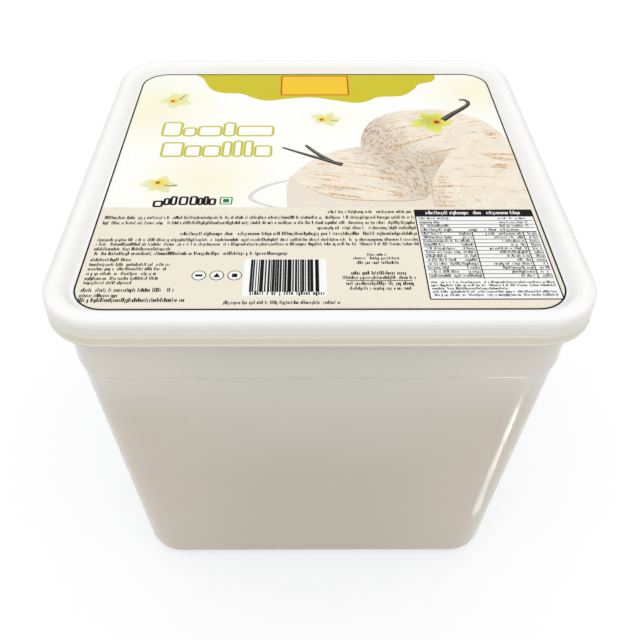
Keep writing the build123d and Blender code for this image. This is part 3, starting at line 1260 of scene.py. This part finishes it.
class TUB_OT_small_print(bpy.types.Operator):
    """Prints the rows of small print as plain blocks, with the bars and the small round marks"""

    bl_idname = "tub_maker.small_print"
    bl_label = "Small Print"

    def execute(self, context):
        strong = strong_ink()
        rows = [
            (4, 35, -29.3, 1.9), (-78, 35, -32.7, 1.9), (-78, 35, -35.9, 1.9), (0, 35, -39, 1.9),
            (-78, 35, -45.7, 1.7), (-78, 35, -48.2, 1.7), (-78, -52, -50.8, 1.7),
            (-78, -51, -59.1, 1.6), (-78, -52, -61.4, 1.6), (-78, -55, -63.8, 1.6), (-78, -54, -66.2, 1.6),
            (-78, -62, -68.4, 1.6), (-78, -66, -74.6, 1.6),
            (17, 23, -54, 1.4), (12, 28, -55.9, 1.5), (8, 32, -66, 1.6), (10, 30, -71.3, 1.6),
            (-31, 7, -78, 1.6),
        ]
        print_rows("small_print", rows, INK, (context.scene.pack_colours.ink, 0.3), 0.52)
        rows = [
            (-49, 35, -42.3, 2), (-78, -11, -53.3, 1.8), (-78, -64, -56.6, 1.7), (-78, -48, -72, 1.9),
            (-78, -44, -76.8, 1.9), (13, 27, -58.3, 1.6), (11, 29, -63.7, 1.8), (9, 31, -68.9, 1.8),
        ]
        print_rows("strong_print", rows, INK, strong, 0.6, 0.12)
        print_rows("bar_figures", [(-22.6, 1.4, -73.6, 1.9)], INK, strong, 0.8, 0.3)

        middles = [(x, -64.6) for x in (-40.3, -34.3, -28.3)]
        patches = [rectangle(-25.3, -74.8, 2.5, -56)] + [disc(x, y, 2.35) for x, y in middles]
        print_plates("white_patches", patches, PANEL, white_ink())
        rings = [stroke(disc(x, y, 2.3), 0.28, closed=True) for x, y in middles]
        underline = stroke([(9, -67.3), (31, -67.3)], 0.3)
        print_strokes("mark_rings", [*rings, underline], INK, strong)
        signs = [
            rectangle(-41.5, -65.1, -39.1, -64.1),
            [Vector(p) for p in ((-35.5, -65.5), (-33.1, -65.5), (-34.3, -63.3))],
            rectangle(-29.2, -65.5, -27.4, -63.7),
        ]
        print_plates("mark_signs", signs, INK, strong)

        bottom, top = ink_span(INK)
        bars = new_piece("bar_field", [(0, 0, 0)], [], strong)
        grow(
            bars, bar_field(), bottom=bottom, top=top, start=on_film(-22.9, -64.6, (top + bottom) / 2),
            length=23.4 * MM, bar_height=16.4 * MM, count=28, seed=context.scene.label_sizes.seed,
        )
        settle(bars)
        return {"FINISHED"}


class TUB_OT_table(bpy.types.Operator):
    """Prints the ruled table: white sheet, black header, rules, dividers and rows of small print"""

    bl_idname = "tub_maker.table"
    bl_label = "Table"

    def execute(self, context):
        white, black = white_ink(), strong_ink()
        left, right = 35.9, 79.1
        top, bottom = -28.1, -76.4
        header_foot, strong_rule = -32.2, -41.3
        first, last, row = -43.4, -66.4, 2.06
        small, tiny = 1.3, 1.15
        margin = 1.2
        lines = [first - row * k for k in range(round((first - last) / row) + 1)]
        print_plates("table_sheet", [rectangle(left, bottom, right, top)], PANEL, white)
        print_plates("table_header", [rectangle(left, header_foot, right, top)], INK, black)

        def rule(y, width):
            """A rule across the table."""
            return stroke([(left + 0.8, y), (right - 0.8, y)], width)

        rules = sides(rectangle(left, bottom, right, top), 0.45)
        rules += [rule(y, 0.3) for y in (-34.7, -36.8, -38.8, *lines)]
        rules += [rule(strong_rule, 0.6)]
        rules += [stroke([(x, strong_rule), (x, last)], 0.36) for x in (55.1, 73.3)]
        print_strokes("table_rules", rules, INK, black)

        rows = []
        for number, line in enumerate(lines):
            y = line + row * 0.48
            name_end = left + 8 + 3.5 * (number % 3)
            amount_start = 60 + 2.6 * (number % 4)
            for start, end in ((left + margin, name_end), (50.5, 54.3), (amount_start, 72.6), (75, 78)):
                rows.append((start, end, y, small))
        for y, end in ((-33.4, 48), (-35.8, 44), (-37.8, 47)):
            rows += [(left + margin, end, y, small), (66, 76, y, small)]
        for number in range(5):
            short = 16 if number == 2 else 0
            rows.append((left + margin, right - margin - short, -68.3 - 1.55 * number, tiny))
        print_rows("table_print", rows, INK, black, 0.46)
        heads = [(left + margin, left + 12, -40.1, 1.5), (54.5, 57, -40.1, 1.5), (60, 72, -40.1, 1.5)]
        print_rows("table_strong_print", heads, INK, black, 0.6, 0.1)
        header = [(40, 56, -30.1, 2.0), (57.5, 75, -30.1, 2.0)]
        print_rows("table_header_print", header, INK + 1, white, 0.62, 0.12)
        return {"FINISHED"}


# ---------------------------------------------------------------- stage


def seen_directly(tree):
    """One for rays from the camera and for those in gloss and glass, which all see a white ground."""
    seen = node(tree, "ShaderNodeLightPath", {}, "Is Camera Ray")
    path = seen.socket.node.outputs
    for name in ("Is Glossy Ray", "Is Transmission Ray"):
        seen = seen.math("MAXIMUM", Signal(path[name]))
    return seen


def add_object(name, data, place=(0, 0, 0), turn=(0, 0, 0)):
    """A lamp or a camera in the scene."""
    made = bpy.data.objects.new(name, data)
    made.location = place
    made.rotation_euler = turn
    bpy.context.collection.objects.link(made)
    return made


class TUB_OT_stage(bpy.types.Operator):
    """Sets up the pale floor, the soft even light and the camera"""

    bl_idname = "tub_maker.stage"
    bl_label = "Stage"

    def execute(self, context):
        scene = context.scene
        settings = scene.stage_settings
        reach = settings.floor_size
        ground = bpy.data.materials.new("Floor")
        ground.use_nodes = True
        shader = ground.node_tree.nodes["Principled BSDF"].inputs
        shader["Base Color"].default_value = settings.floor
        shader["Roughness"].default_value = 1.0
        shader["Specular IOR Level"].default_value = 0.0
        whitener = [settings.floor_white - part for part in settings.floor[:3]]
        shader["Emission Color"].default_value = (*whitener, 1)
        seen_directly(ground.node_tree).to(shader["Emission Strength"])
        corners = [(-reach, -reach, 0), (reach, -reach, 0), (reach, reach, 0), (-reach, reach, 0)]
        floor = new_piece("floor", corners, [(0, 1, 2, 3)], ground)

        world = bpy.data.worlds.new("Studio")
        scene.world = world
        world.use_nodes = True
        background = world.node_tree.nodes["Background"].inputs
        background["Color"].default_value = (1, 1, 1, 1)
        sight = {"Value": seen_directly(world.node_tree), "To Min": settings.sky, "To Max": 1.0}
        node(world.node_tree, "ShaderNodeMapRange", sight).to(background["Strength"])

        sun = bpy.data.lights.new("top_light", "SUN")
        sun.energy = settings.sun * math.pi
        sun.angle = settings.sun_spread
        add_object(sun.name, sun, turn=(settings.sun_lean, 0, 0))

        outward = Vector((math.cos(settings.strip_turn), math.sin(settings.strip_turn), 0))
        third = settings.strip_length / 3
        for name, step, brightness in (("near", -1, 0.5), ("middle", 0, 0.9), ("far", 1, 1.8)):
            strip = bpy.data.lights.new("corner_strip_" + name, "AREA")
            strip.shape = "RECTANGLE"
            strip.size = third
            strip.size_y = settings.strip_width * (1 + settings.strip_flare * step)
            strip.energy = settings.strip * brightness * math.pi * strip.size * strip.size_y
            place = Vector(settings.strip_place) + outward * third * step
            gleam = add_object(strip.name, strip, place, (math.pi, 0, settings.strip_turn))
            gleam.visible_camera = False
            gleam.visible_diffuse = False
            gleam.visible_transmission = False

        lens = bpy.data.cameras.new("camera")
        lens.lens = settings.lens
        lens.sensor_width = 36
        lens.shift_x = settings.shift_x
        lens.shift_y = settings.shift_y
        lens.clip_start = 0.01
        scene.camera = add_object("camera", lens, settings.eye, (settings.tilt, 0, settings.turn))
        scene.view_settings.view_transform = "Standard"
        return {"FINISHED"}


class TUB_PT_maker(bpy.types.Panel):
    """Lists the steps that build the tub, and the sizes and colours that they use"""

    bl_idname = "TUB_PT_maker"
    bl_label = "Ice Cream Tub"
    bl_space_type = "VIEW_3D"
    bl_region_type = "UI"
    bl_category = "Tub"

    def draw(self, context):
        for step in STEPS:
            self.layout.operator(step.bl_idname)
        for name in SETTINGS:
            settings = getattr(context.scene, name)
            box = self.layout.box()
            box.label(text=name.replace("_", " ").capitalize())
            for value in settings.__annotations__:
                box.prop(settings, value)


SETTINGS = {
    "tub_sizes": TubSizes,
    "lid_sizes": LidSizes,
    "pack_colours": PackColours,
    "label_sizes": LabelSizes,
    "stage_settings": StageSettings,
}
STEPS = (
    TUB_OT_stage, TUB_OT_body, TUB_OT_lid, TUB_OT_film, TUB_OT_scoops, TUB_OT_blossoms, TUB_OT_blocks,
    TUB_OT_small_print, TUB_OT_table,
)


def register():
    """Registers the classes and puts their settings on the scene."""
    for made in (*SETTINGS.values(), *STEPS, TUB_PT_maker):
        bpy.utils.register_class(made)
    for name, settings in SETTINGS.items():
        setattr(bpy.types.Scene, name, bpy.props.PointerProperty(type=settings))


def unregister():
    """Takes the settings and the classes away again."""
    for name in SETTINGS:
        delattr(bpy.types.Scene, name)
    for made in reversed((*SETTINGS.values(), *STEPS, TUB_PT_maker)):
        bpy.utils.unregister_class(made)


def main():
    """Builds every piece in order."""
    register()
    bpy.context.scene.view_layers[0].update()
    for step in STEPS:
        group, name = step.bl_idname.split(".")
        getattr(getattr(bpy.ops, group), name)()


if __name__ == "__main__":
    main()
